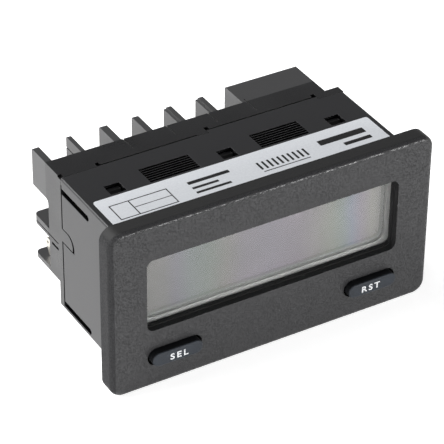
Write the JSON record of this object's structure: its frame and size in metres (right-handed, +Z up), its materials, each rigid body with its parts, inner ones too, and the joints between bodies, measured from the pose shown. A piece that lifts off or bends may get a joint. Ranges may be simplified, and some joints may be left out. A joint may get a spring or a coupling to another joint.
{
  "type": "panel counter",
  "caption": "Panel-mounted counter with a wide bezel, a liquid crystal display, two rubber keys and rows of finned screw terminals on a clip-on rear cover.",
  "frame": {"origin": "centre of the bezel's back face, the face that seats on the panel", "axes": "+X to the right as the reader sees it, +Y to the rear through the panel, +Z up"},
  "size_m": [0.075, 0.0432, 0.039],
  "materials": {
    "case_plastic": "fine spark-eroded grain",
    "cover_plastic": "fine spark-eroded grain",
    "window_plastic": "clear polished",
    "frame_plastic": "moulded",
    "polariser_film": "smooth film",
    "cell_glass": "polished",
    "reflector_film": "satin",
    "strip_rubber": "cut silicone",
    "key_rubber": "matt silicone",
    "carbon_rubber": "matt",
    "board_laminate": "solder resist",
    "chip_epoxy": "moulded epoxy",
    "crystal_can": "drawn",
    "connector_plastic": "moulded",
    "spacer_nylon": "turned",
    "capacitor_sleeve": "shrunk sleeve",
    "terminal_plastic": "moulded",
    "plated_brass": "tinned",
    "clamp_steel": "bright zinc",
    "screw_steel": "yellow passivated zinc",
    "label_film": "satin film"
  },
  "bodies": {
    "counter": {"front_case": "case_plastic", "display_window": "window_plastic", "lcd_frame": "frame_plastic", "lcd_polariser": "polariser_film", "lcd_cell": "cell_glass", "lcd_reflector": "reflector_film", "upper_contact_strip": "strip_rubber", "lower_contact_strip": "strip_rubber", "keypad_mat": "key_rubber", "display_board": "board_laminate", "controller_chip": "chip_epoxy", "memory_chip": "chip_epoxy", "timing_crystal": "crystal_can", "board_header": "connector_plastic", "board_socket": "connector_plastic", "board_spacers": "spacer_nylon", "input_board": "board_laminate", "input_chip": "chip_epoxy", "voltage_regulator": "chip_epoxy", "filter_capacitor": "capacitor_sleeve", "input_terminal_block": "terminal_plastic", "input_terminal_plates": "plated_brass", "input_wire_clamps": "screw_steel", "input_terminal_screws": "screw_steel", "output_terminal_block": "terminal_plastic", "output_terminal_plates": "plated_brass", "output_wire_clamps": "clamp_steel", "output_terminal_screws": "screw_steel", "rear_cover": "cover_plastic", "top_label": "label_film"},
    "sel_button": {"sel_key": "key_rubber", "sel_contact_pill": "carbon_rubber"},
    "rst_button": {"rst_key": "key_rubber", "rst_contact_pill": "carbon_rubber"}
  },
  "joints": [
    {"name": "sel_press", "type": "slide", "parent": "counter", "child": "sel_button", "axis": [0, 1, 0], "range_m": [0, 0.001], "stiffness_N_per_m": 1200, "springref_m": -0.0005},
    {"name": "rst_press", "type": "slide", "parent": "counter", "child": "rst_button", "axis": [0, 1, 0], "range_m": [0, 0.001], "stiffness_N_per_m": 1200, "springref_m": -0.0005}
  ]
}
